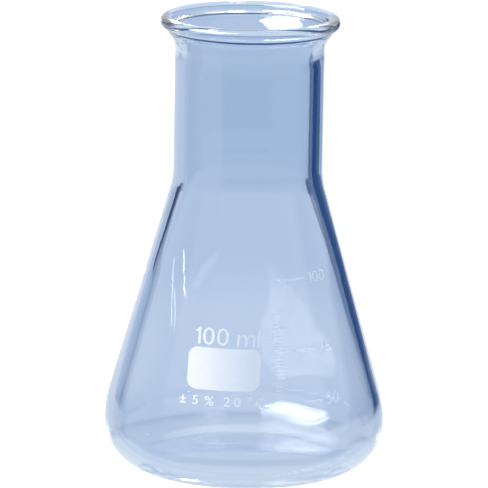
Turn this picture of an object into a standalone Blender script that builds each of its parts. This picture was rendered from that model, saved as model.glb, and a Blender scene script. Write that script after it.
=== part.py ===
"""A 100 ml wide-neck conical laboratory flask with a beaded rim.

The vessel is one piece of blown glass, turned about Z. Its markings are thin coats of white enamel
that lie just off the cone: a writing panel, the capacity, and three lines with their numbers.

Frame: the origin is the centre of the base, on the plane that the flask stands on. +Z runs up the
axis, and -Y is the front, where the writing panel is. An azimuth turns from -Y towards +X.
"""

import math

import bmesh
import bpy
from mathutils import Vector

MM = 0.001
ML = 1e-6  # one millilitre in cubic metres

# The vessel's outside
HEIGHT = 105.0 * MM
BODY_RADIUS = 32.0 * MM
NECK_RADIUS = 17.0 * MM
CONE_ANGLE = math.radians(15.8)  # between the cone's side and the axis
HEEL_RADIUS = 11.0 * MM  # from the widest place down to the base
WAIST_RADIUS = 25.0 * MM  # from the widest place up to the cone
SHOULDER_RADIUS = 18.0 * MM  # the hollow curve between the cone and the neck
FLARE_RADIUS = 6.0 * MM
FLARE_ANGLE = math.radians(44.0)
FLARE_DEPTH = 6.6 * MM  # from the middle of the bead down to the straight neck
BEAD_RADIUS = 1.45 * MM
BEAD_RING_RADIUS = 19.0 * MM  # from the axis to the middle of the bead

# The glass
WALL = 1.8 * MM
NECK_WALL = 2.4 * MM
NECK_THICKENING = (44.0 * MM, 70.0 * MM)  # the heights between which the wall thickens towards the neck
LIP_THINNING = (94.0 * MM, 102.0 * MM)  # the heights between which it thins again towards the mouth
FLOOR_THICKNESS = 2.4 * MM
CONTACT_WIDTH = 2.0 * MM  # the flat ring that the flask stands on
PUSH_UP = 1.2 * MM  # how far the middle of the base is raised

# The enamel
ENAMEL_GAP = 0.3 * MM
ENAMEL_THICKNESS = 0.25 * MM
PANEL_WIDTH = 16.8 * MM
PANEL_HEIGHT = 9.5 * MM
PANEL_CORNER = 2.2 * MM
PANEL_FOOT = 24.4 * MM  # height of its lower edge above the base
CAPACITY = 100
CAPACITY_FOOT = 34.2 * MM
CAPACITY_TALL = 3.8 * MM
CAPACITY_TURN = math.radians(1.0)  # how far the capacity's middle is to the right of the panel's
NUMBER_TALL = 2.5 * MM
SCALE_END = math.radians(46.0)  # the azimuth where the lines stop
NUMBER_GAP = math.radians(2.5)
SCALE_LINES = {50: 5.0 * MM, 75: 5.0 * MM, 100: 7.0 * MM}  # volume in ml, length of its line
LINE_TALL = 0.5 * MM

# Lettering, in the font's units and in figure heights
DIGIT_TALL = 0.682
ONE_OUTLINE = (
    (0.19, 0.0),
    (0.32, 0.0),
    (0.32, 1.0),
    (0.22, 1.0),
    (0.17, 0.88),
    (0.0, 0.82),
    (0.0, 0.72),
    (0.19, 0.74),
)
L_OUTLINE = ((0.0, 0.0), (0.13, 0.0), (0.13, 1.04), (0.0, 1.04))
DRAWN = {"1": ONE_OUTLINE, "l": L_OUTLINE}  # the characters that aren't taken from the font
GLYPH_WIDEN = 1.12  # the print is a little wider than the font
LETTER_GAP = 0.15
WORD_GAP = 0.36

# Fineness: how many straight steps stand for each curve
TURN_STEPS = 64
BEAD_STEPS = 12
FLARE_STEPS = 6
NECK_STEPS = 8
SHOULDER_STEPS = 4
CONE_STEPS = 10
WAIST_STEPS = 3
HEEL_STEPS = 9
FLOOR_STEPS = 5
PANEL_STEPS = 14
LINE_STEPS = (5, 2)
GLYPH_STEPS = 3
HALVINGS = 40
CREASE = math.radians(40.0)  # a bend sharper than this is shaded as an edge


def arc(centre, across, up, start, end, steps):
    """Points (distance from the axis, height) on an ellipse of these half-axes, both ends included."""
    turn = (end - start) / steps
    return [
        (
            centre[0] + across * math.cos(start + turn * step),
            centre[1] + up * math.sin(start + turn * step),
        )
        for step in range(steps + 1)
    ]


def straight(start, end, steps):
    """The points that part a straight line into this many steps, without its ends."""
    return [
        (
            start[0] + (end[0] - start[0]) * step / steps,
            start[1] + (end[1] - start[1]) * step / steps,
        )
        for step in range(1, steps)
    ]


def cone_radius(height):
    """The cone's outside radius at a height. The cone starts where the waist's curve runs out."""
    foot_radius = BODY_RADIUS - WAIST_RADIUS * (1 - math.cos(CONE_ANGLE))
    foot_height = HEEL_RADIUS + WAIST_RADIUS * math.sin(CONE_ANGLE)
    return foot_radius - (height - foot_height) * math.tan(CONE_ANGLE)


def side(inset, bottom):
    """The side from the mouth to the base, this far inside the outer surface and above the ground."""
    flare = arc(
        (NECK_RADIUS + FLARE_RADIUS, HEIGHT - BEAD_RADIUS - FLARE_DEPTH),
        FLARE_RADIUS + inset,
        FLARE_RADIUS + inset,
        math.pi - FLARE_ANGLE,
        math.pi,
        FLARE_STEPS,
    )
    meeting = (cone_radius(0) - NECK_RADIUS) / math.tan(CONE_ANGLE)
    shoulder = arc(
        (NECK_RADIUS + SHOULDER_RADIUS, meeting + SHOULDER_RADIUS * math.tan(CONE_ANGLE / 2)),
        SHOULDER_RADIUS + inset,
        SHOULDER_RADIUS + inset,
        math.pi,
        math.pi + CONE_ANGLE,
        SHOULDER_STEPS,
    )
    waist = arc(
        (BODY_RADIUS - WAIST_RADIUS, HEEL_RADIUS),
        WAIST_RADIUS - inset,
        WAIST_RADIUS - inset,
        CONE_ANGLE,
        0,
        WAIST_STEPS,
    )
    heel = arc(
        (BODY_RADIUS - HEEL_RADIUS, HEEL_RADIUS),
        HEEL_RADIUS - inset,
        HEEL_RADIUS - bottom,
        0,
        -math.pi / 2,
        HEEL_STEPS,
    )
    neck = straight(flare[-1], shoulder[0], NECK_STEPS)
    cone = straight(shoulder[-1], waist[0], CONE_STEPS)
    return flare + neck + shoulder + cone + waist + heel[1:]


def smooth_step(value, low, high):
    """A smooth rise from 0 at low to 1 at high."""
    share = min(max((value - low) / (high - low), 0.0), 1.0)
    return share * share * (3 - 2 * share)


def floor(height):
    """The base from its contact ring in to the axis. Its middle is pushed up in one smooth swell."""
    ring = BODY_RADIUS - HEEL_RADIUS - CONTACT_WIDTH
    points = []
    for step in range(FLOOR_STEPS + 1):
        radius = ring * (1 - step / FLOOR_STEPS)
        rise = PUSH_UP * (1 + math.cos(math.pi * radius / ring)) / 2
        points.append((radius, height + rise))
    return points


def bead():
    """The rolled rim, from the inside of the mouth over the top and round to the crease under it."""
    centre = (BEAD_RING_RADIUS, HEIGHT - BEAD_RADIUS)
    return arc(centre, BEAD_RADIUS, BEAD_RADIUS, math.pi, -math.pi / 2, BEAD_STEPS)


def inside():
    """The inner surface from the mouth down to the middle of the floor, drawn in where the neck is thick."""
    points = []
    for radius, height in side(WALL, FLOOR_THICKNESS):
        thick = smooth_step(height, *NECK_THICKENING) * (1 - smooth_step(height, *LIP_THINNING))
        points.append((radius - (NECK_WALL - WALL) * thick, height))
    return points + floor(FLOOR_THICKNESS)


def outside():
    """The outer surface from under the bead down to the middle of the base."""
    return side(0.0, 0.0) + floor(0.0)


def held_volume(surface):
    """What the vessel holds up to this height, added up in slices from the floor."""
    line = inside()[::-1]
    held = 0.0
    for (low_radius, low), (high_radius, high) in zip(line, line[1:]):
        covered = low < surface < high
        share = (surface - low) / (high - low) if covered else 1.0
        top_radius = low_radius + (high_radius - low_radius) * share
        square = low_radius**2 + low_radius * top_radius + top_radius**2
        held += math.pi * (high - low) * share * square / 3
        if covered:
            break
    return held


def fill_height(volume):
    """How high the vessel is filled when it holds this volume, found by halving."""
    low = FLOOR_THICKNESS + PUSH_UP
    high = HEIGHT - BEAD_RADIUS
    for _ in range(HALVINGS):
        middle = (low + high) / 2
        if held_volume(middle) < volume:
            low = middle
        else:
            high = middle
    return low


def material(name, color, roughness, transmission=0.0):
    made = bpy.data.materials.new(name)
    made.use_nodes = True
    shader = made.node_tree.nodes["Principled BSDF"]
    shader.inputs["Base Color"].default_value = (*color, 1.0)
    shader.inputs["Roughness"].default_value = roughness
    shader.inputs["Metallic"].default_value = 0.0
    shader.inputs["Transmission Weight"].default_value = transmission
    made.diffuse_color = (*color, 1.0)
    return made


def glass_material():
    made = material("glass", (0.62, 0.72, 0.86), 0.02, transmission=1.0)
    made.node_tree.nodes["Principled BSDF"].inputs["IOR"].default_value = 1.47
    return made


def enamel_material():
    return material("enamel", (0.93, 0.94, 0.97), 0.35)


def add_object(name, mesh, finish):
    made = bpy.data.objects.new(name, mesh)
    made.data.materials.append(finish)
    bpy.context.scene.collection.objects.link(made)
    return made


def glass_body(finish):
    """The outline runs up the inside, over the bead and down the outside, and Screw turns it."""
    outline = inside()[::-1] + bead() + outside()
    mesh = bpy.data.meshes.new("glass_body")
    points = [(radius, 0.0, height) for radius, height in outline]
    mesh.from_pydata(points, [(end - 1, end) for end in range(1, len(points))], [])
    body = add_object("glass_body", mesh, finish)
    turned = body.modifiers.new("turned", "SCREW")
    turned.axis = "Z"
    turned.steps = TURN_STEPS
    turned.render_steps = TURN_STEPS
    turned.use_merge_vertices = True
    turned.merge_threshold = 0.00001
    turned.use_smooth_shade = True
    return body


def on_cone(across, up, out, azimuth, foot):
    """Wraps a flat point round the cone: across along the arc, up along the slope, out from the glass."""
    height = foot + up * math.cos(CONE_ANGLE)
    radius = cone_radius(height)
    turn = azimuth + across / radius
    lift = ENAMEL_GAP + out
    reach = radius + lift * math.cos(CONE_ANGLE)
    return Vector(
        (
            reach * math.sin(turn),
            -reach * math.cos(turn),
            height + lift * math.sin(CONE_ANGLE),
        )
    )


def wrap(form, azimuth, foot):
    for vertex in form.verts:
        vertex.co = on_cone(*vertex.co, azimuth, foot)


def finish_mark(name, form, finish):
    bmesh.ops.recalc_face_normals(form, faces=form.faces)
    if form.calc_volume(signed=True) < 0:
        bmesh.ops.reverse_faces(form, faces=form.faces)
    mesh = bpy.data.meshes.new(name)
    form.to_mesh(mesh)
    form.free()
    mesh.shade_smooth()
    mesh.set_sharp_from_angle(angle=CREASE)
    return add_object(name, mesh, finish)


def sheet(form, width, height, corner, columns, rows):
    """A flat enamel patch standing on Y=0, centred across, its rows closest at the round corners."""
    bmesh.ops.create_grid(form, x_segments=columns, y_segments=rows, size=0.5)
    for vertex in form.verts:
        across = vertex.co.x * width
        up = (1 + math.sin(math.pi * vertex.co.y)) / 2 * height
        edge = max(corner - up, up - (height - corner), 0.0)
        narrowing = corner - math.sqrt(max(corner**2 - edge**2, 0.0))
        vertex.co.x = across * (1 - 2 * narrowing / width)
        vertex.co.y = up
    raised = bmesh.ops.extrude_face_region(form, geom=form.faces[:])
    for element in raised["geom"]:
        if isinstance(element, bmesh.types.BMVert):
            element.co.z = ENAMEL_THICKNESS


def writing_panel(finish):
    """The patch that is written on in pencil."""
    form = bmesh.new()
    sheet(form, PANEL_WIDTH, PANEL_HEIGHT, PANEL_CORNER, PANEL_STEPS, PANEL_STEPS)
    wrap(form, 0.0, PANEL_FOOT)
    return finish_mark("writing_panel", form, finish)


def scale_line(volume, length, finish):
    """A level line, whose middle is as high as this volume of liquid stands."""
    form = bmesh.new()
    sheet(form, length, LINE_TALL, LINE_TALL / 4, *LINE_STEPS)
    foot = fill_height(volume * ML) - LINE_TALL / 2
    azimuth = SCALE_END - length / 2 / cone_radius(foot)
    wrap(form, azimuth, foot)
    return finish_mark(f"scale_line_{volume}", form, finish)


def font_glyph(character):
    """One character from Blender's own font, as a solid one unit thick."""
    curve = bpy.data.curves.new("glyph", "FONT")
    curve.body = character
    curve.resolution_u = GLYPH_STEPS
    curve.extrude = 0.5
    holder = bpy.data.objects.new("glyph", curve)
    bpy.context.scene.collection.objects.link(holder)
    graph = bpy.context.evaluated_depsgraph_get()
    mesh = bpy.data.meshes.new_from_object(holder.evaluated_get(graph))
    form = bmesh.new()
    form.from_mesh(mesh)
    bpy.data.meshes.remove(mesh)
    bpy.data.objects.remove(holder)
    bpy.data.curves.remove(curve)
    bmesh.ops.remove_doubles(form, verts=form.verts, dist=0.0001)
    bmesh.ops.scale(form, verts=form.verts, vec=(GLYPH_WIDEN / DIGIT_TALL, 1 / DIGIT_TALL, 1))
    return form


def drawn_glyph(corners):
    """A character given by its corners, as a solid one unit thick."""
    form = bmesh.new()
    outline = [form.verts.new((across, up, -0.5)) for across, up in corners]
    raised = bmesh.ops.extrude_face_region(form, geom=[form.faces.new(outline)])
    for element in raised["geom"]:
        if isinstance(element, bmesh.types.BMVert):
            element.co.z = 0.5
    return form


def glyph_form(character, tall):
    """One character as a flat coat of enamel, its digits this tall, that starts at X=0."""
    form = drawn_glyph(DRAWN[character]) if character in DRAWN else font_glyph(character)
    start = min(vertex.co.x for vertex in form.verts)
    for vertex in form.verts:
        vertex.co.x = (vertex.co.x - start) * tall
        vertex.co.y = vertex.co.y * tall
        vertex.co.z = (vertex.co.z + 0.5) * ENAMEL_THICKNESS
    return form


def lettering(characters, names, tall, azimuth, foot, finish, centred):
    """A row of characters round the cone, each its own coat of enamel. A space names nothing."""
    gap = LETTER_GAP * tall
    forms = []
    across = 0.0
    for character in characters:
        if character == " ":
            across += WORD_GAP * tall
            continue
        form = glyph_form(character, tall)
        wide = max(vertex.co.x for vertex in form.verts)
        forms.append((form, across))
        across += wide + gap
    shift = -(across - gap) / 2 if centred else 0.0
    for name, (form, start) in zip(names, forms):
        for vertex in form.verts:
            vertex.co.x += start + shift
        wrap(form, azimuth, foot)
        finish_mark(name, form, finish)


def capacity(finish):
    names = [f"capacity_digit_{place}" for place in (1, 2, 3)]
    names += ["capacity_unit_m", "capacity_unit_l"]
    text = f"{CAPACITY} ml"
    lettering(text, names, CAPACITY_TALL, CAPACITY_TURN, CAPACITY_FOOT, finish, centred=True)


def scale_number(volume, finish):
    """The number stands beside its line, level with it."""
    text = str(volume)
    names = [f"scale_{volume}_digit_{place + 1}" for place in range(len(text))]
    foot = fill_height(volume * ML) - NUMBER_TALL / 2 * math.cos(CONE_ANGLE)
    azimuth = SCALE_END + NUMBER_GAP
    lettering(text, names, NUMBER_TALL, azimuth, foot, finish, centred=False)


def main():
    for leftover in list(bpy.data.objects):
        bpy.data.objects.remove(leftover)
    enamel = enamel_material()
    glass_body(glass_material())
    writing_panel(enamel)
    capacity(enamel)
    for volume, length in SCALE_LINES.items():
        scale_line(volume, length, enamel)
        scale_number(volume, enamel)


main()
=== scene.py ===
"""The looks of a 100 ml wide-neck conical flask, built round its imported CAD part.

Everything is in metres, in the part's own frame: the origin is the centre of the base, +Z runs up the
axis and -Y is the front, where the writing panel is. An azimuth turns from -Y towards +X.
"""

import math

import bmesh
import bpy
from mathutils import Matrix, Vector

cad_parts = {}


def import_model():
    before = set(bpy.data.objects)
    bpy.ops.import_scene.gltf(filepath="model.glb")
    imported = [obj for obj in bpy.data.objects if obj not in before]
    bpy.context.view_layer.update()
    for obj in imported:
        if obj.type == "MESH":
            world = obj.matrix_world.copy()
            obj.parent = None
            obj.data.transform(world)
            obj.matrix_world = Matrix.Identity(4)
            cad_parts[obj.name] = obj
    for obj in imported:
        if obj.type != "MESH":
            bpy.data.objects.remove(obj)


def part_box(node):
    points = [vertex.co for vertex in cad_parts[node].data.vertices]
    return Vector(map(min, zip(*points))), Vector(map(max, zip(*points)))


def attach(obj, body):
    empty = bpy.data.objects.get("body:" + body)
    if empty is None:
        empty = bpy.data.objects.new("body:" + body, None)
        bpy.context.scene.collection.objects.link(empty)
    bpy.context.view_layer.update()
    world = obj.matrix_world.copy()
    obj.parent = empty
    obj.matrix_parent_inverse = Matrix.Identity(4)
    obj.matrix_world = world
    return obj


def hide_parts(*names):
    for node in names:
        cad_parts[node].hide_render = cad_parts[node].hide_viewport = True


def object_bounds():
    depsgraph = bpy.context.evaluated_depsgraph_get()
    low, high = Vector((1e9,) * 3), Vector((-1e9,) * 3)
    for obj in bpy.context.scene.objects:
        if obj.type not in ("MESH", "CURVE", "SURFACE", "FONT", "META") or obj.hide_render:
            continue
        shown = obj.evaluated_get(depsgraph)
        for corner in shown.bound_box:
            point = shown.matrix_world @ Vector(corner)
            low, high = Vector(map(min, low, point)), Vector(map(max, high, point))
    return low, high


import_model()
CAD_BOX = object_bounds()

MM = 0.001

# The vessel: its height and width are the CAD model's, and its curves repeat the CAD model's design
HEIGHT = CAD_BOX[1][2]
BODY_RADIUS = CAD_BOX[1][0]
NECK_RADIUS = 17.0 * MM
CONE_ANGLE = math.radians(15.8)  # between the cone's side and the axis
HEEL_RADIUS = 11.0 * MM  # from the widest place down to the base
WAIST_RADIUS = 25.0 * MM  # from the widest place up to the cone
SHOULDER_RADIUS = 18.0 * MM  # the hollow curve between the cone and the neck
FLARE_RADIUS = 6.0 * MM
FLARE_ANGLE = math.radians(44.0)
FLARE_DEPTH = 6.6 * MM  # from the middle of the bead down to the straight neck
BEAD_RADIUS = 1.45 * MM
BEAD_RING_RADIUS = 19.0 * MM  # from the axis to the middle of the bead
WALL = 1.8 * MM
NECK_WALL = 2.4 * MM
NECK_THICKENING = (44.0 * MM, 70.0 * MM)  # the heights between which the wall thickens upwards
LIP_THINNING = (94.0 * MM, 102.0 * MM)  # the heights between which it thins again towards the mouth
FLOOR_THICKNESS = 2.4 * MM
CONTACT_WIDTH = 2.0 * MM  # the flat ring that the flask stands on
PUSH_UP = 1.2 * MM  # how far the middle of the base is raised
TURN_STEPS = 288  # facets round the axis
STEPS = {  # along each stretch of the outline
    "bead": 48,
    "flare": 24,
    "neck": 24,
    "shoulder": 16,
    "cone": 48,
    "waist": 16,
    "heel": 40,
    "floor": 24,
}
MERGE_RADIUS = 1e-7  # nearer to the axis than this is on it

# The glass's look
GLASS_TINT = (0.985, 0.99, 0.998)
GLASS_IOR = 1.47
PAINTED_CREASE_SHADE = (0.0, 0.01, 0.10)  # painted shade: the dark line under the bead, in the crease where the lip is rolled over, is painted into the glass's colour
CREASE_SHADE_REACH = (0.3 * MM, 0.16 * MM)  # how far the line reaches below and above the bead's lower edge
CREASE_SHADE_SOFTNESS = 0.1 * MM
CREASE_SHADE_START = (17.9 * MM, 18.1 * MM)  # the radii between which the line comes in
CREASE_SHADE_WOBBLE = 0.25 * MM
CREASE_SHADE_WOBBLE_SCALE = 180
WAVE_DEPTH = 0.004 * MM  # of the blown surface's faint waves
WAVE_SCALE = 620
WAVE_STRETCH = (1, 1, 0.6)

# The enamel print
PRINT_GAP = 0.02 * MM
PRINT_THICKNESS = 0.03 * MM
STRIP_WIDTH = 0.6 * MM  # the widest flat strip that is laid on the cone
CUT_TOLERANCE = 1e-8
SHARP_EDGE = math.radians(40)
PANEL_WIDTH = 16.8 * MM
PANEL_HEIGHT = 9.5 * MM
PANEL_CORNER = 2.2 * MM
PANEL_FOOT = 24.4 * MM  # height of its lower edge above the base
CAPACITY_FOOT = 34.2 * MM
CAPACITY_TALL = 3.8 * MM
CAPACITY_TURN = math.radians(1.0)  # how far the capacity's middle is to the right of the panel's
CAPACITY_THINNING = 0.003
NUMBER_TALL = 2.5 * MM
NUMBER_THINNING = 0.012
NUMBER_GAP = math.radians(2.5)
SCALE_END = math.radians(46)  # the azimuth where the lines stop
SCALE_LINES = {50: 5.0 * MM, 75: 5.0 * MM, 100: 7.0 * MM}  # volume in ml, length of its line
LINE_TALL = 0.5 * MM  # in the CAD model, which gives the lines their height
LINE_PRINTED = 0.42 * MM
LINE_CORNER = 0.1 * MM
TOLERANCE = "± 5 %  20 °C"
TOLERANCE_FOOT = 21.1 * MM
TOLERANCE_TALL = 2.0 * MM
TOLERANCE_THINNING = -0.012
TOLERANCE_SPREAD = 0.42
FINE_STEPS = 26
FINE_PITCH = 0.82 * MM
FINE_LENGTHS = (3.0 * MM, 1.9 * MM)  # of every fifth dash, and of the rest
FINE_TALL = 0.24 * MM
FINE_CORNER = 0.08 * MM
FINE_FOOT = 22.0 * MM
FINE_TURN = math.radians(26)
ENAMEL_COLOURS = ((0.83, 0.86, 0.91), (0.89, 0.91, 0.94))
ENAMEL_ROUGHNESS = (0.42, 0.6)
MOTTLE_SCALE = 900
GRAIN_SCALE = 2500
GRAIN_DEPTH = 0.01 * MM
GRAIN_STRENGTH = 0.5
WEAR_SCALE = 700
WEAR_REACH = (0.3, 0.65)  # the noise values between which the wear goes from greatest to none
MOST_WORN = 0.6  # what is left of the alpha where the wear is greatest
THIN_ALPHA = 0.4  # of the worn lines and numbers
FAINT_ALPHA = 0.3  # of the fine scale

# Lettering, in the font's units and in figure heights
DIGIT_TALL = 0.682
ONE_OUTLINE = (
    (0.0, 0.72),
    (0.0, 0.82),
    (0.14, 0.86),
    (0.21, 1.0),
    (0.33, 1.0),
    (0.33, 0.0),
    (0.19, 0.0),
    (0.19, 0.74),
)
L_OUTLINE = ((0.0, 0.0), (0.12, 0.0), (0.12, 1.04), (0.0, 1.04))
DRAWN = {"1": ONE_OUTLINE, "l": L_OUTLINE}  # the characters that aren't taken from the font
GLYPH_WIDEN = 1.12  # the print is a little wider than the font
GLYPH_RESOLUTION = 6
GLYPH_WELD = 0.0005
LETTER_GAP = 0.15
WORD_GAP = 0.36

# The camera
CAMERA_AZIMUTH = math.radians(10.0)
CAMERA_ELEVATION = math.radians(12.574)
CAMERA_ROLL = math.radians(0.978)
CAMERA_DISTANCE = 1.2231
CAMERA_TARGET = Vector((0, 0, 52 * MM))
CAMERA_SHIFT = (-0.0057581967, -0.0009221311475)
SENSOR = 36  # width in millimetres
LENS = 394.480328  # focal length in millimetres

# The lights. An azimuth here is clockwise from the way the camera looks, and angles are in degrees.
LIGHT_DISTANCE = 0.8
LIGHT_TARGET = Vector((0, 0, 60 * MM))
SUN = {"azimuth": -90, "elevation": 30, "width": 30, "energy": 2.67, "colour": (1.0, 0.83, 0.5)}
# name, azimuth, elevation, (width, height) as the flask sees them, radiance, tilt
SOFTBOXES = (
    ("key", -114, 47, (52, 38), 12, 0),
    ("bar", -101.7, 10.58, (14.5, 0.13), 18, 5),
    ("strip", -90.7, 8.0, (17.3, 0.15), 7, 5.1),
)

# The surroundings, which only the glass sees, and what the camera and the enamel get instead
BACKDROP = (0.385, 0.51, 0.725)
AMBIENT = (0.32, 0.45, 0.67)
WHITE = (1.03, 1.03, 1.03)
# Patches over the backdrop, each over the ones before it: whether azimuths are from behind; the
# azimuth from, to and softness; the elevation from, to and softness; and the colour.
SURROUNDINGS = (
    (False, -200, 200, 3, 2, 95, 3, (0.66, 0.76, 0.86)),
    (False, -24, 24, 4, 3.5, 18, 2, (0.40, 0.53, 0.76)),
    (False, -200, 200, 6, -95, -27, 6, (0.56, 0.68, 0.83)),
    (False, -110, -20, 8, -95, -27, 8, (0.60, 0.72, 0.86)),
    (False, -25, 14, 1.2, -22, -18.5, 1.2, (0.24, 0.36, 0.58)),
    (False, 21, 80, 2, -19.5, 4, 2, (0.02, 0.06, 0.19)),
    (False, 14.5, 60, 1.2, -9.3, 4, 1.2, (0.025, 0.07, 0.205)),
    (False, -46, -34.5, 1, -1.2, 4, 1, (0.0, 0.012, 0.1)),
    (False, -54, -43, 1.5, -2.6, 3, 1, (0.0, 0.008, 0.11)),
    (True, -110, 38, 8, -11.45, -7, 0.4, (0.14, 0.26, 0.42)),
    (True, -75, 75, 5, 8, 95, 5, (1.2, 1.25, 1.3)),
    (False, -91, -88, 0.08, -10.68, -10.52, 0.08, (9.0, 9.0, 9.0)),
)
# The same for the patches that only mirror reflections show
MIRRORED = (
    (False, -134, -68, 8, -27, 95, 12, (0.9, 0.94, 1.0)),
    (False, -60, -15, 6, -17, -4.8, 1.2, (1.0, 1.0, 1.0)),
    (False, -20, 18, 6, -95, 95, 1, (1.0, 1.0, 1.0)),
)

# The floor, and the lit patch of table under and behind the flask, which only the glass sees
FLOOR_RADIUS = 12
FLOOR_CORNERS = 128
FLOOR_DROP = 0.05 * MM
FLOOR_GLOW = 0.32
TABLE_RADIUS = 0.3
TABLE_CORNERS = 64
TABLE_DROP = 0.02 * MM
TABLE_COLOUR = (0.57, 0.68, 0.85, 1)
# each: the distances from the axis between which its strength changes, and the two strengths
UNDER = (32 * MM, 46 * MM, 0.5, 0.0)
BEHIND = (48 * MM, 110 * MM, 0.18, 0.36)
BEHIND_END = (150 * MM, 240 * MM, 1.0, 0.0)
RIGHT = (85 * MM, 120 * MM, 0.8, 0.0)
# each: the azimuths from, to and softness
BEHIND_SPAN = (-75, 28, 12)
RIGHT_SPAN = (42, 80, 8)
GLASS_BOUNCES = 64
ALL_BOUNCES = 80


def added(name, data):
    made = bpy.data.objects.new(name, data)
    bpy.context.scene.collection.objects.link(made)
    return made


# ---------------------------------------------------------------- the glass
def arc(centre, across, up, start, end, steps):
    """Points on an ellipse, from one angle to another."""
    turn = (end - start) / steps
    return [
        (centre[0] + across * math.cos(start + turn * i), centre[1] + up * math.sin(start + turn * i))
        for i in range(steps + 1)
    ]


def straight(start, end, steps):
    """The points between two places, without the places themselves."""
    return [
        (start[0] + (end[0] - start[0]) * i / steps, start[1] + (end[1] - start[1]) * i / steps)
        for i in range(1, steps)
    ]


def smooth_step(value, low, high):
    """Rises smoothly from 0 at low to 1 at high."""
    share = min(max((value - low) / (high - low), 0.0), 1.0)
    return share * share * (3 - 2 * share)


def cone_radius(height):
    """The outside radius of the straight cone, carried on past its two ends."""
    foot_radius = BODY_RADIUS - WAIST_RADIUS * (1 - math.cos(CONE_ANGLE))
    foot_height = HEEL_RADIUS + WAIST_RADIUS * math.sin(CONE_ANGLE)
    return foot_radius - (height - foot_height) * math.tan(CONE_ANGLE)


def side(inset, bottom):
    """The (radius, height) points from the bead down to the base, moved in by inset, and up by bottom."""
    flare = arc(
        (NECK_RADIUS + FLARE_RADIUS, HEIGHT - BEAD_RADIUS - FLARE_DEPTH),
        FLARE_RADIUS + inset, FLARE_RADIUS + inset, math.pi - FLARE_ANGLE, math.pi, STEPS["flare"])
    meeting = (cone_radius(0) - NECK_RADIUS) / math.tan(CONE_ANGLE)
    shoulder = arc(
        (NECK_RADIUS + SHOULDER_RADIUS, meeting + SHOULDER_RADIUS * math.tan(CONE_ANGLE / 2)),
        SHOULDER_RADIUS + inset, SHOULDER_RADIUS + inset, math.pi, math.pi + CONE_ANGLE, STEPS["shoulder"])
    waist = arc(
        (BODY_RADIUS - WAIST_RADIUS, HEEL_RADIUS),
        WAIST_RADIUS - inset, WAIST_RADIUS - inset, CONE_ANGLE, 0, STEPS["waist"])
    heel = arc(
        (BODY_RADIUS - HEEL_RADIUS, HEEL_RADIUS),
        HEEL_RADIUS - inset, HEEL_RADIUS - bottom, 0, -math.pi / 2, STEPS["heel"])
    neck_line = straight(flare[-1], shoulder[0], STEPS["neck"])
    cone_line = straight(shoulder[-1], waist[0], STEPS["cone"])
    return flare + neck_line + shoulder + cone_line + waist + heel[1:]


def inner_side():
    """The inner surface, drawn in a little where the neck's wall is thicker."""
    points = []
    for radius, height in side(WALL, FLOOR_THICKNESS):
        share = smooth_step(height, *NECK_THICKENING) * (1 - smooth_step(height, *LIP_THINNING))
        points.append((radius - (NECK_WALL - WALL) * share, height))
    return points


def floor_line(height):
    """The points from the contact ring in to the axis, rising towards the middle."""
    ring = BODY_RADIUS - HEEL_RADIUS - CONTACT_WIDTH
    steps = STEPS["floor"]
    points = []
    for step in range(steps + 1):
        radius = ring * (1 - step / steps)
        rise = PUSH_UP * (1 + math.cos(math.pi * radius / ring)) / 2
        points.append((radius, height + rise))
    return points


def bead():
    centre = (BEAD_RING_RADIUS, HEIGHT - BEAD_RADIUS)
    return arc(centre, BEAD_RADIUS, BEAD_RADIUS, math.pi, -math.pi / 2, STEPS["bead"])


def turned(name, outline):
    """Turns an outline of (radius, height) points, which starts and ends on the axis, round +Z."""
    verts = []
    rows = []
    for radius, height in outline:
        if radius < MERGE_RADIUS:
            rows.append([len(verts)] * TURN_STEPS)
            verts.append((0, 0, height))
            continue
        rows.append([len(verts) + step for step in range(TURN_STEPS)])
        for step in range(TURN_STEPS):
            angle = 2 * math.pi * step / TURN_STEPS
            verts.append((radius * math.sin(angle), -radius * math.cos(angle), height))
    faces = []
    for low, high in zip(rows, rows[1:]):
        for step in range(TURN_STEPS):
            after = (step + 1) % TURN_STEPS
            corners = [high[step], high[after], low[after], low[step]]
            face = [v for place, v in enumerate(corners) if v not in corners[:place]]
            if len(face) > 2:
                faces.append(face)
    mesh = bpy.data.meshes.new(name)
    mesh.from_pydata(verts, [], faces)
    form = bmesh.new()
    form.from_mesh(mesh)
    if form.calc_volume(signed=True) < 0:
        bmesh.ops.reverse_faces(form, faces=form.faces)
    form.to_mesh(mesh)
    form.free()
    mesh.shade_smooth()
    return added(name, mesh)


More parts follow.
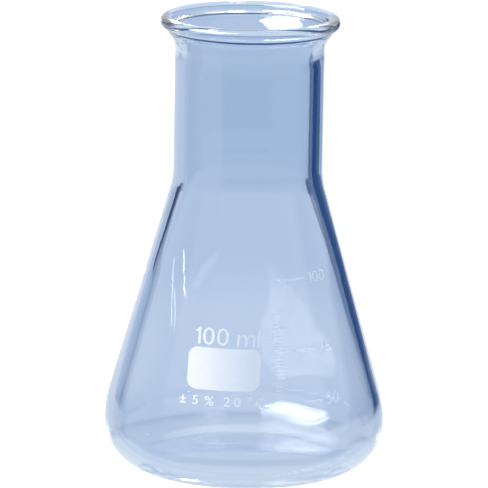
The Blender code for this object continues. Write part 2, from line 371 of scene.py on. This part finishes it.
# ---------------------------------------------------------------- node trees
class Tree:
    """Short ways to add nodes to a tree. A number or a socket may go in anywhere."""

    def __init__(self, tree):
        self.tree = tree

    def put(self, value, socket):
        if isinstance(value, bpy.types.NodeSocket):
            self.tree.links.new(value, socket)
        else:
            socket.default_value = value

    def away(self, x, y):
        """How far a point is from the axis."""
        squares = [self.math("POWER", side, 2.0) for side in (x, y)]
        return self.math("SQRT", self.math("ADD", *squares))

    def bearing(self, x, y):
        """The azimuth of a direction, clockwise from +Y, in degrees."""
        return self.math("DEGREES", self.math("ARCTAN2", x, y))

    def bump(self, height, strength, distance, shader):
        n = self.tree.nodes.new("ShaderNodeBump")
        n.inputs["Strength"].default_value = strength
        n.inputs["Distance"].default_value = distance
        self.put(height, n.inputs["Height"])
        self.put(n.outputs[0], shader.inputs["Normal"])

    def object_place(self):
        return self.tree.nodes.new("ShaderNodeTexCoord").outputs["Object"]

    def split(self, vector):
        n = self.tree.nodes.new("ShaderNodeSeparateXYZ")
        self.put(vector, n.inputs[0])
        return n.outputs

    def math(self, operation, *values, clamp=False):
        n = self.tree.nodes.new("ShaderNodeMath")
        n.operation = operation
        n.use_clamp = clamp
        for value, socket in zip(values, n.inputs):
            self.put(value, socket)
        return n.outputs[0]

    def ramp(self, value, low, high, to_low=0.0, to_high=1.0):
        n = self.tree.nodes.new("ShaderNodeMapRange")
        n.interpolation_type = "SMOOTHSTEP"
        self.put(value, n.inputs["Value"])
        n.inputs["From Min"].default_value = low
        n.inputs["From Max"].default_value = high
        n.inputs["To Min"].default_value = to_low
        n.inputs["To Max"].default_value = to_high
        return n.outputs[0]

    def between(self, value, low, high, soft):
        """1 where value is between low and high, falling to 0 over soft on either side."""
        middle, half = (low + high) / 2, (high - low) / 2
        away = self.math("ABSOLUTE", self.math("SUBTRACT", value, middle))
        return self.ramp(away, half, half + soft, 1.0, 0.0)

    def mix(self, factor, a, b):
        n = self.tree.nodes.new("ShaderNodeMix")
        n.data_type = "RGBA"
        self.put(factor, n.inputs["Factor"])
        self.put(a if not isinstance(a, tuple) else (*a, 1), n.inputs["A"])
        self.put(b if not isinstance(b, tuple) else (*b, 1), n.inputs["B"])
        return n.outputs["Result"]


def new_material(name):
    made = bpy.data.materials.new(name)
    made.use_nodes = True
    return made, Tree(made.node_tree), made.node_tree.nodes["Principled BSDF"]


def noise(t, vector, scale, detail=2.0, stretch=(1, 1, 1)):
    if stretch != (1, 1, 1):
        m = t.tree.nodes.new("ShaderNodeVectorMath")
        m.operation = "MULTIPLY"
        t.put(vector, m.inputs[0])
        m.inputs[1].default_value = stretch
        vector = m.outputs[0]
    n = t.tree.nodes.new("ShaderNodeTexNoise")
    t.put(vector, n.inputs["Vector"])
    n.inputs["Scale"].default_value = scale
    n.inputs["Detail"].default_value = detail
    return n.outputs[0]


def glass_material():
    made, t, shader = new_material("clear_glass")
    place = t.object_place()
    x, y, z = t.split(place)
    fold = HEIGHT - 2 * BEAD_RADIUS
    below, above = CREASE_SHADE_REACH
    height = t.math("ADD", z, t.math("MULTIPLY", noise(t, place, CREASE_SHADE_WOBBLE_SCALE), CREASE_SHADE_WOBBLE))
    # Painted shade: a thin navy ring with a wobbly edge is painted into the glass's colour in the crease
    # under the bead
    crease_shade = t.math(
        "MULTIPLY",
        t.between(height, fold - below, fold + above, CREASE_SHADE_SOFTNESS),
        t.ramp(t.away(x, y), *CREASE_SHADE_START))
    t.put(t.mix(crease_shade, GLASS_TINT, PAINTED_CREASE_SHADE), shader.inputs["Base Color"])
    t.bump(noise(t, place, WAVE_SCALE, 3, WAVE_STRETCH), 1.0, WAVE_DEPTH, shader)
    shader.inputs["Transmission Weight"].default_value = 1.0
    shader.inputs["IOR"].default_value = GLASS_IOR
    shader.inputs["Roughness"].default_value = 0.0
    return made


# ---------------------------------------------------------------- the enamel print
def on_cone(across, up, out, azimuth, foot):
    """Wraps a flat point round the cone: across along the arc, up along the slope, out from the glass."""
    height = foot + up * math.cos(CONE_ANGLE)
    radius = cone_radius(height)
    turn = azimuth + across / radius
    lift = PRINT_GAP + out
    reach = radius + lift * math.cos(CONE_ANGLE)
    return Vector((reach * math.sin(turn), -reach * math.cos(turn), height + lift * math.sin(CONE_ANGLE)))


def laid(name, form, azimuth, foot, finish, *nodes):
    """Cuts a flat shape into narrow strips, thickens it, lays it on the cone and makes it a piece."""
    left = min(v.co.x for v in form.verts)
    right = max(v.co.x for v in form.verts)
    strips = max(1, math.ceil((right - left) / STRIP_WIDTH))
    for step in range(1, strips):
        place = (left + (right - left) * step / strips, 0, 0)
        everything = form.verts[:] + form.edges[:] + form.faces[:]
        bmesh.ops.bisect_plane(form, geom=everything, plane_co=place, plane_no=(1, 0, 0), dist=CUT_TOLERANCE)
    raised = bmesh.ops.extrude_face_region(form, geom=form.faces[:])
    for element in raised["geom"]:
        if isinstance(element, bmesh.types.BMVert):
            element.co.z += PRINT_THICKNESS
    for vertex in form.verts:
        vertex.co = on_cone(*vertex.co, azimuth, foot)
    bmesh.ops.recalc_face_normals(form, faces=form.faces)
    if form.calc_volume(signed=True) < 0:
        bmesh.ops.reverse_faces(form, faces=form.faces)
    mesh = bpy.data.meshes.new(name)
    form.to_mesh(mesh)
    form.free()
    mesh.shade_smooth()
    mesh.set_sharp_from_angle(angle=SHARP_EDGE)
    made = added(name, mesh)
    made.data.materials.append(finish)
    made.visible_shadow = False
    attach(made, "root")
    if nodes:
        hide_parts(*nodes)


def polygon(form, outline):
    form.faces.new([form.verts.new((x, y, 0)) for x, y in outline])


def rounded(width, height, corner, steps=8):
    """The outline of a rectangle with round corners, standing on Y=0 and centred across."""
    points = []
    for place, (x, y) in enumerate([(1, 0), (1, 1), (-1, 1), (-1, 0)]):
        centre = (x * (width / 2 - corner), corner + y * (height - 2 * corner))
        start = math.pi / 2 * (place - 1)
        points += arc(centre, corner, corner, start, start + math.pi / 2, steps)
    return points


def glyph(character, tall, thin):
    """One flat character, its digits this tall, that starts at X=0. thin is taken off the font's strokes."""
    form = bmesh.new()
    if character in DRAWN:
        polygon(form, DRAWN[character])
        scale, widen = tall, 1.0
    else:
        curve = bpy.data.curves.new("glyph", "FONT")
        curve.body = character
        curve.resolution_u = GLYPH_RESOLUTION
        curve.offset = -thin
        holder = added("glyph", curve)
        graph = bpy.context.evaluated_depsgraph_get()
        mesh = bpy.data.meshes.new_from_object(holder.evaluated_get(graph))
        form.from_mesh(mesh)
        bpy.data.meshes.remove(mesh)
        bpy.data.objects.remove(holder)
        bpy.data.curves.remove(curve)
        bmesh.ops.remove_doubles(form, verts=form.verts, dist=GLYPH_WELD)
        scale, widen = tall / DIGIT_TALL, GLYPH_WIDEN
    start = min(v.co.x for v in form.verts)
    for v in form.verts:
        v.co = ((v.co.x - start) * scale * widen, v.co.y * scale, 0)
    return form


def lettering(text, names, tall, azimuth, foot, finish, centred, thin, spread=LETTER_GAP, nodes=()):
    """Prints a line of text, each character its own piece, centred on the azimuth or starting there."""
    gap = spread * tall
    forms = []
    across = 0.0
    for character in text:
        if character == " ":
            across += WORD_GAP * tall
            continue
        form = glyph(character, tall, thin)
        forms.append((form, across))
        across += max(v.co.x for v in form.verts) + gap
    shift = -(across - gap) / 2 if centred else 0.0
    for place, (form, start) in enumerate(forms):
        for v in form.verts:
            v.co.x += start + shift
        laid(names[place], form, azimuth, foot, finish, *nodes[place:place + 1])


def enamel_material(name, alpha):
    """White enamel with a faint mottle. Below 1, alpha is how much is left where it's least worn."""
    made, t, shader = new_material(name)
    place = t.object_place()
    mottle = noise(t, place, MOTTLE_SCALE, 3)
    t.put(t.mix(mottle, *ENAMEL_COLOURS), shader.inputs["Base Color"])
    t.put(t.ramp(mottle, 0.2, 0.8, *ENAMEL_ROUGHNESS), shader.inputs["Roughness"])
    t.bump(noise(t, place, GRAIN_SCALE, 3), GRAIN_STRENGTH, GRAIN_DEPTH, shader)
    if alpha < 1:
        worn = noise(t, place, WEAR_SCALE, 2)
        t.put(t.ramp(worn, *WEAR_REACH, alpha * MOST_WORN, alpha), shader.inputs["Alpha"])
    return made


def scale_line(volume, length, finish):
    """A line of the volume scale at the CAD line's height, and its number after it."""
    low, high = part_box(f"scale_line_{volume}")
    middle = (low[2] + high[2]) / 2
    foot = middle - LINE_TALL / 2
    form = bmesh.new()
    polygon(form, rounded(length, LINE_PRINTED, LINE_CORNER, 3))
    azimuth = SCALE_END - length / 2 / cone_radius(foot)
    laid(f"print_line_{volume}", form, azimuth, foot, finish, f"scale_line_{volume}")
    nodes = [f"scale_{volume}_digit_{place + 1}" for place in range(len(str(volume)))]
    lettering(
        str(volume), ["print_" + node for node in nodes], NUMBER_TALL, SCALE_END + NUMBER_GAP,
        middle - NUMBER_TALL / 2 * math.cos(CONE_ANGLE), finish, False, NUMBER_THINNING, nodes=nodes)


def marks():
    solid = enamel_material("enamel_white", 1.0)
    thin = enamel_material("enamel_thin", THIN_ALPHA)
    faint = enamel_material("enamel_faint", FAINT_ALPHA)
    form = bmesh.new()
    polygon(form, rounded(PANEL_WIDTH, PANEL_HEIGHT, PANEL_CORNER))
    laid("print_panel", form, 0.0, PANEL_FOOT, solid, "writing_panel")
    nodes = [f"capacity_digit_{place}" for place in (1, 2, 3)] + ["capacity_unit_m", "capacity_unit_l"]
    lettering(
        "100 ml", ["print_" + node for node in nodes], CAPACITY_TALL, CAPACITY_TURN, CAPACITY_FOOT,
        solid, True, CAPACITY_THINNING, nodes=nodes)
    for volume, length in SCALE_LINES.items():
        scale_line(volume, length, thin)
    names = [f"print_tolerance_{place + 1}" for place in range(len(TOLERANCE.replace(" ", "")))]
    lettering(
        TOLERANCE, names, TOLERANCE_TALL, 0.0, TOLERANCE_FOOT, solid, True, TOLERANCE_THINNING,
        TOLERANCE_SPREAD)
    form = bmesh.new()
    for step in range(FINE_STEPS):
        length = FINE_LENGTHS[0] if step % 5 == 0 else FINE_LENGTHS[1]
        outline = rounded(length, FINE_TALL, FINE_CORNER, 2)
        polygon(form, [(x, y + step * FINE_PITCH) for x, y in outline])
    laid("print_fine_scale", form, FINE_TURN, FINE_FOOT, faint)


# ---------------------------------------------------------------- the stage
def towards(azimuth, elevation):
    """A direction, its azimuth clockwise from the way the camera looks, in degrees."""
    turn, rise = math.radians(azimuth), math.radians(elevation)
    ahead = Vector((math.sin(turn) * math.cos(rise), math.cos(turn) * math.cos(rise), math.sin(rise)))
    return Matrix.Rotation(CAMERA_AZIMUTH, 3, "Z") @ ahead


def camera():
    data = bpy.data.cameras.new("view")
    data.lens = LENS
    data.sensor_width = SENSOR
    data.clip_end = 100
    data.shift_x, data.shift_y = CAMERA_SHIFT
    made = added("view", data)
    across = math.cos(CAMERA_ELEVATION)
    back = Vector((
        math.sin(CAMERA_AZIMUTH) * across,
        -math.cos(CAMERA_AZIMUTH) * across,
        math.sin(CAMERA_ELEVATION)))
    look = (-back).to_track_quat("-Z", "Y").to_matrix().to_4x4()
    roll = Matrix.Rotation(CAMERA_ROLL, 4, "Z")
    made.matrix_world = Matrix.Translation(CAMERA_TARGET + back * CAMERA_DISTANCE) @ look @ roll
    bpy.context.scene.camera = made


def softbox(name, azimuth, elevation, size, radiance, tilt):
    """An area light. size is its width and height in degrees as the flask sees it."""
    width, height = (2 * LIGHT_DISTANCE * math.tan(math.radians(angle) / 2) for angle in size)
    data = bpy.data.lights.new(name, "AREA")
    data.shape = "RECTANGLE"
    data.size = width
    data.size_y = height
    data.energy = radiance * math.pi * width * height
    made = added(name, data)
    made.location = LIGHT_TARGET + towards(azimuth, elevation) * LIGHT_DISTANCE
    aim = (LIGHT_TARGET - made.location).to_track_quat("-Z", "Y").to_matrix()
    made.rotation_euler = (aim @ Matrix.Rotation(math.radians(tilt), 3, "Z")).to_euler()
    made.visible_camera = False
    made.visible_diffuse = False


def sunlight():
    """Soft light from the left, for the enamel and the floor only."""
    data = bpy.data.lights.new("daylight", "SUN")
    data.energy = SUN["energy"]
    data.color = SUN["colour"]
    data.angle = math.radians(SUN["width"])
    made = added("daylight", data)
    away = towards(SUN["azimuth"], SUN["elevation"])
    made.rotation_euler = (-away).to_track_quat("-Z", "Y").to_euler()
    made.visible_glossy = False
    made.visible_transmission = False


def world():
    """The backdrop and its patches for the glass, AMBIENT for diffuse light and WHITE for the camera."""
    made = bpy.data.worlds.new("studio")
    made.use_nodes = True
    t = Tree(made.node_tree)
    coords = t.tree.nodes.new("ShaderNodeTexCoord")
    turn = t.tree.nodes.new("ShaderNodeVectorRotate")
    turn.rotation_type = "Z_AXIS"
    turn.inputs["Angle"].default_value = -CAMERA_AZIMUTH
    t.put(coords.outputs["Generated"], turn.inputs["Vector"])
    x, y, z = t.split(turn.outputs[0])
    azimuth = t.bearing(x, y)
    from_behind = t.bearing(t.math("MULTIPLY", x, -1.0), t.math("MULTIPLY", y, -1.0))
    elevation = t.math("DEGREES", t.math("ARCSINE", z))
    path = t.tree.nodes.new("ShaderNodeLightPath").outputs
    mirrored = t.math("SUBTRACT", path["Is Glossy Ray"], path["Is Transmission Ray"], clamp=True)
    seen = BACKDROP
    for place, patch in enumerate(SURROUNDINGS + MIRRORED):
        behind, low, high, soft, bottom, top, fade, colour = patch
        across = t.between(from_behind if behind else azimuth, low, high, soft)
        share = t.math("MULTIPLY", across, t.between(elevation, bottom, top, fade))
        if place >= len(SURROUNDINGS):
            share = t.math("MULTIPLY", share, mirrored)
        seen = t.mix(share, seen, colour)
    seen = t.mix(path["Is Diffuse Ray"], seen, AMBIENT)
    shown = t.mix(path["Is Camera Ray"], seen, WHITE)
    t.put(shown, t.tree.nodes["Background"].inputs["Color"])
    bpy.context.scene.world = made


def disc(name, radius, drop, corners):
    bpy.ops.mesh.primitive_circle_add(
        vertices=corners, radius=radius, fill_type="NGON", location=(0, 0, -drop))
    made = bpy.context.object
    made.name = name
    return made


def floor():
    made = disc("floor", FLOOR_RADIUS, FLOOR_DROP, FLOOR_CORNERS)
    finish, _, shader = new_material("floor")
    shader.inputs["Base Color"].default_value = (1, 1, 1, 1)
    shader.inputs["Roughness"].default_value = 1.0
    shader.inputs["Specular IOR Level"].default_value = 0.0
    shader.inputs["Emission Color"].default_value = (1, 1, 1, 1)
    shader.inputs["Emission Strength"].default_value = FLOOR_GLOW
    made.data.materials.append(finish)
    made.visible_transmission = False
    made.visible_glossy = False


def glow():
    """The lit patch of table: under the flask, behind it and far to the right."""
    made = disc("table_glow", TABLE_RADIUS, TABLE_DROP, TABLE_CORNERS)
    made.rotation_euler = (0, 0, CAMERA_AZIMUTH)
    finish, t, shader = new_material("table_glow")
    x, y, _ = t.split(t.object_place())
    away = t.away(x, y)
    azimuth = t.bearing(x, y)
    under = t.ramp(away, *UNDER)
    near = t.math("MULTIPLY", t.ramp(away, *BEHIND), t.ramp(away, *BEHIND_END))
    behind = t.math("MULTIPLY", near, t.between(azimuth, *BEHIND_SPAN))
    right = t.math("MULTIPLY", t.ramp(away, *RIGHT), t.between(azimuth, *RIGHT_SPAN))
    strength = t.math("MAXIMUM", t.math("MAXIMUM", under, behind), right)
    clear = t.tree.nodes.new("ShaderNodeBsdfTransparent")
    light = t.tree.nodes.new("ShaderNodeEmission")
    light.inputs["Color"].default_value = TABLE_COLOUR
    blend = t.tree.nodes.new("ShaderNodeMixShader")
    for socket, value in zip(blend.inputs, (strength, clear.outputs[0], light.outputs[0])):
        t.put(value, socket)
    t.tree.nodes.remove(shader)
    t.put(blend.outputs[0], t.tree.nodes["Material Output"].inputs["Surface"])
    made.data.materials.append(finish)
    made.visible_camera = False
    made.visible_diffuse = False
    made.visible_shadow = False


def vessel():
    outline = (inner_side() + floor_line(FLOOR_THICKNESS))[::-1] + bead() + side(0, 0) + floor_line(0)
    glass = turned("glass_vessel", outline)
    glass.data.materials.append(glass_material())
    glass.visible_shadow = False
    glass.visible_diffuse = False
    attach(glass, "root")
    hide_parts("glass_body")


vessel()
marks()
world()
floor()
glow()
camera()
sunlight()
for box in SOFTBOXES:
    softbox(*box)
scene = bpy.context.scene
scene.view_settings.view_transform = "Standard"
scene.cycles.glossy_bounces = GLASS_BOUNCES
scene.cycles.transmission_bounces = GLASS_BOUNCES
scene.cycles.max_bounces = ALL_BOUNCES
